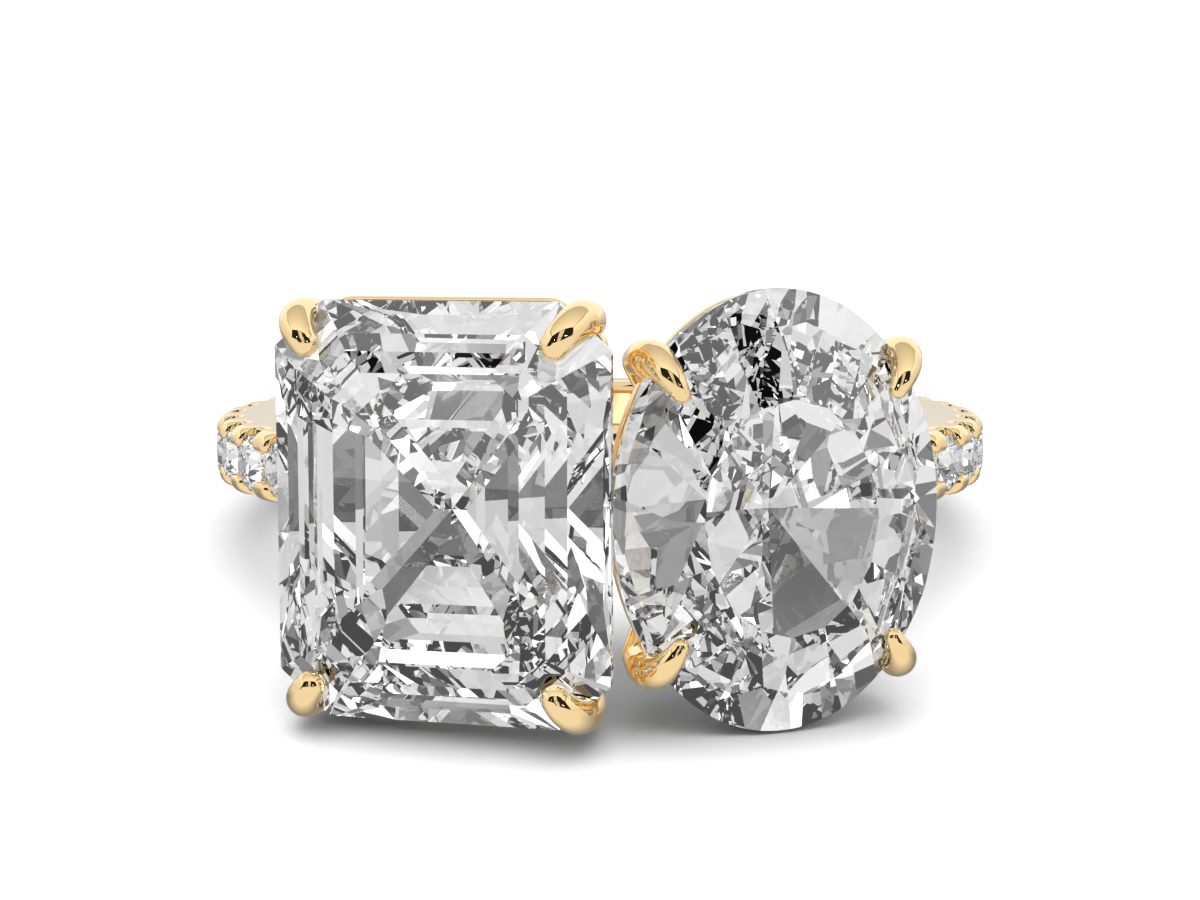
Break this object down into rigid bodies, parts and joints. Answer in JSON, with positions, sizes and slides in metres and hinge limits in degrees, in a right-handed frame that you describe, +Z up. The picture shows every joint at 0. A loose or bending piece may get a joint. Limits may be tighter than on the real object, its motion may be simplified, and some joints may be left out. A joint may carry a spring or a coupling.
{
  "type": "finger ring",
  "caption": "Yellow gold toi et moi ring with a cut-corner rectangular diamond beside an oval one, and small round diamonds down its scalloped shank.",
  "frame": {"origin": "centre of the finger hole, on the ring's own axis", "axes": "+X to the right across the head, +Y from the head towards the back of the shank, +Z up from the surface the ring lies on, with the ring tipped about X so that it rests"},
  "size_m": [0.0206, 0.0256, 0.0091],
  "materials": {
    "gold": "polished yellow gold",
    "diamond": "faceted and polished",
    "pave_diamond": "faceted and polished"
  },
  "bodies": {
    "root": {"gold_mount": "gold", "radiant_diamond": "diamond", "oval_diamond": "diamond", "pave_left_1": "pave_diamond", "pave_left_2": "pave_diamond", "pave_left_3": "pave_diamond", "pave_left_4": "pave_diamond", "pave_left_5": "pave_diamond", "pave_left_6": "pave_diamond", "pave_left_7": "pave_diamond", "pave_left_8": "pave_diamond", "pave_left_9": "pave_diamond", "pave_left_10": "pave_diamond", "pave_left_11": "pave_diamond", "pave_right_1": "pave_diamond", "pave_right_2": "pave_diamond", "pave_right_3": "pave_diamond", "pave_right_4": "pave_diamond", "pave_right_5": "pave_diamond", "pave_right_6": "pave_diamond", "pave_right_7": "pave_diamond", "pave_right_8": "pave_diamond", "pave_right_9": "pave_diamond", "pave_right_10": "pave_diamond", "pave_right_11": "pave_diamond"}
  },
  "joints": []
}
